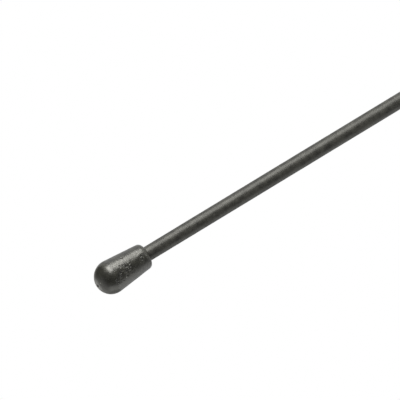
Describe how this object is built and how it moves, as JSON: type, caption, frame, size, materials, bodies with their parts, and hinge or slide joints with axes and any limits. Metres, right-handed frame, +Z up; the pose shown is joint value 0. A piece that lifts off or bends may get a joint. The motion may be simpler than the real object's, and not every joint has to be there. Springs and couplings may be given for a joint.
{
  "type": "car mast aerial",
  "caption": "Short black screw-in rod aerial for a car: round-nosed rubber tip cap, slim sleeved mast, moulded foot boot and a threaded stud below.",
  "frame": {"origin": "centre of the washer's underside, the face that the foot tightens down on, on the mast's axis", "axes": "+Z up along the mast's axis to the tip, as the aerial stands when fitted; the stud points along -Z; the spanner flats face +X and -X"},
  "size_m": [0.0104, 0.0104, 0.41],
  "materials": {
    "cap_rubber": "satin",
    "sleeve_plastic": "satin",
    "glass_fibre": "satin",
    "copper_wire": "satin",
    "solder": "satin",
    "plated_brass": "satin",
    "stud_steel": "satin",
    "boot_rubber": "satin",
    "washer_rubber": "matte"
  },
  "bodies": {
    "root": {"tip_cap": "cap_rubber", "mast_sleeve": "sleeve_plastic", "core_rod": "glass_fibre", "antenna_winding": "copper_wire", "solder_joint": "solder", "foot_ferrule": "plated_brass", "mount_stud": "stud_steel", "foot_boot": "boot_rubber", "rubber_washer": "washer_rubber"}
  },
  "joints": []
}
